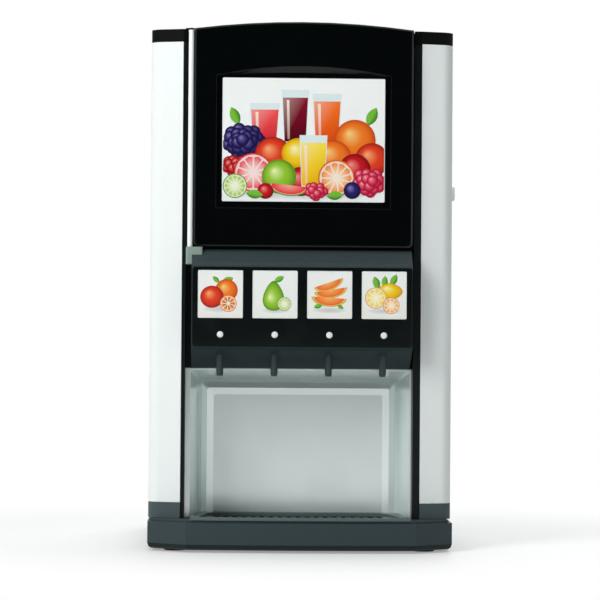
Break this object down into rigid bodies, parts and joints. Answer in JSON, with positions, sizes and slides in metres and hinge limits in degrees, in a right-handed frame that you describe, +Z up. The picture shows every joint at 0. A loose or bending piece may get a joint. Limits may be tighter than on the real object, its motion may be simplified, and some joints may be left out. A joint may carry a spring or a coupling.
{
  "type": "refrigerated juice dispenser",
  "caption": "Countertop refrigerated juice dispenser with a picture door, push buttons, nozzles over a cup recess, a lift-out drip tray and peristaltic pumps.",
  "frame": {"origin": "on the counter under the middle of the body", "axes": "+X to the right seen from the front, the front faces -Y, +Z up"},
  "size_m": [0.465, 0.6, 0.8],
  "materials": {
    "panel_white": "smooth satin powder coat",
    "gloss_black": "high-gloss black moulding",
    "satin_black": "satin black moulding",
    "charcoal": "fine-grained charcoal moulding",
    "slate": "fine-grained slate grey moulding",
    "pale_green": "pale grey-green enamel",
    "liner_white": "smooth white liner",
    "steel": "galvanised or brushed sheet",
    "splash_grey": "light grey satin steel splash panel",
    "aluminium": "anodised extrusion",
    "rubber": "matt rubber",
    "board": "solder-masked board",
    "tube": "translucent soft tube",
    "carton": "waxed juice carton",
    "picture": "printed fruit display under clear film",
    "card": "printed flavour card",
    "button_white": "white push button"
  },
  "bodies": {
    "dispenser_body": {"base_pan": "charcoal", "foot_front_left": "rubber", "foot_front_right": "rubber", "foot_rear_left": "rubber", "foot_rear_right": "rubber", "corner_block_left": "slate", "corner_block_right": "slate", "side_panel_left": "panel_white", "side_panel_right": "panel_white", "top_lid": "satin_black", "rear_panel": "steel", "front_frame": "gloss_black", "chassis": "steel", "insulated_cabinet": "liner_white", "splash_panel": "splash_grey", "hinge_block": "pale_green", "service_inlet": "satin_black", "juice_container_1": "carton", "juice_container_2": "carton", "juice_container_3": "carton", "juice_container_4": "carton", "compressor": "satin_black", "condenser": "aluminium", "dispense_head": "charcoal", "button_fascia": "gloss_black", "control_board": "board", "pump_deck": "liner_white", "flavour_card_1": "card", "flavour_card_2": "card", "flavour_card_3": "card", "flavour_card_4": "card", "nozzle_1": "satin_black", "nozzle_2": "satin_black", "nozzle_3": "satin_black", "nozzle_4": "satin_black", "juice_tube_1": "tube", "juice_tube_2": "tube", "juice_tube_3": "tube", "juice_tube_4": "tube", "pump_motor_1": "steel", "pump_motor_2": "steel", "pump_motor_3": "steel", "pump_motor_4": "steel"},
    "door": {"door_shell": "gloss_black", "door_liner": "liner_white", "door_gasket": "rubber", "hinge_profile": "aluminium", "picture_panel": "picture"},
    "drip_tray": {"drip_tray": "slate"},
    "drip_grille": {"drip_grille": "satin_black"},
    "key": {"key_barrel": "steel"},
    "fan": {"fan_rotor": "satin_black"},
    "button_1": {"dispense_button_1": "button_white"},
    "button_2": {"dispense_button_2": "button_white"},
    "button_3": {"dispense_button_3": "button_white"},
    "button_4": {"dispense_button_4": "button_white"},
    "pump_rotor_1": {"pump_rotor_1": "button_white"},
    "pump_rotor_2": {"pump_rotor_2": "button_white"},
    "pump_rotor_3": {"pump_rotor_3": "button_white"},
    "pump_rotor_4": {"pump_rotor_4": "button_white"}
  },
  "joints": [
    {"name": "door_hinge", "type": "hinge", "parent": "dispenser_body", "child": "door", "pos_m": [-0.1693, -0.252, 0.62], "axis": [0, 0, -1], "range_deg": [0, 110]},
    {"name": "drip_tray_lift", "type": "slide", "parent": "dispenser_body", "child": "drip_tray", "axis": [0, 0, 1], "range_m": [0, 0.06]},
    {"name": "drip_grille_lift", "type": "slide", "parent": "drip_tray", "child": "drip_grille", "axis": [0, 0, 1], "range_m": [0, 0.04]},
    {"name": "key_turn", "type": "hinge", "parent": "dispenser_body", "child": "key", "pos_m": [0.2303, -0.195, 0.549], "axis": [1, 0, 0], "range_deg": [0, 90]},
    {"name": "fan_spin", "type": "hinge", "parent": "dispenser_body", "child": "fan", "pos_m": [-0.092, 0.24, 0.1523], "axis": [0, 1, 0], "continuous": true},
    {"name": "button_1_press", "type": "slide", "parent": "dispenser_body", "child": "button_1", "axis": [0, 1, 0], "range_m": [0, 0.002], "stiffness_N_per_m": 300},
    {"name": "button_2_press", "type": "slide", "parent": "dispenser_body", "child": "button_2", "axis": [0, 1, 0], "range_m": [0, 0.002], "stiffness_N_per_m": 300},
    {"name": "button_3_press", "type": "slide", "parent": "dispenser_body", "child": "button_3", "axis": [0, 1, 0], "range_m": [0, 0.002], "stiffness_N_per_m": 300},
    {"name": "button_4_press", "type": "slide", "parent": "dispenser_body", "child": "button_4", "axis": [0, 1, 0], "range_m": [0, 0.002], "stiffness_N_per_m": 300},
    {"name": "pump_1_spin", "type": "hinge", "parent": "dispenser_body", "child": "pump_rotor_1", "pos_m": [-0.1337, -0.257, 0.3575], "axis": [0, 1, 0], "continuous": true},
    {"name": "pump_2_spin", "type": "hinge", "parent": "dispenser_body", "child": "pump_rotor_2", "pos_m": [-0.0519, -0.257, 0.3575], "axis": [0, 1, 0], "continuous": true},
    {"name": "pump_3_spin", "type": "hinge", "parent": "dispenser_body", "child": "pump_rotor_3", "pos_m": [0.0299, -0.257, 0.3575], "axis": [0, 1, 0], "continuous": true},
    {"name": "pump_4_spin", "type": "hinge", "parent": "dispenser_body", "child": "pump_rotor_4", "pos_m": [0.1117, -0.257, 0.3575], "axis": [0, 1, 0], "continuous": true}
  ]
}
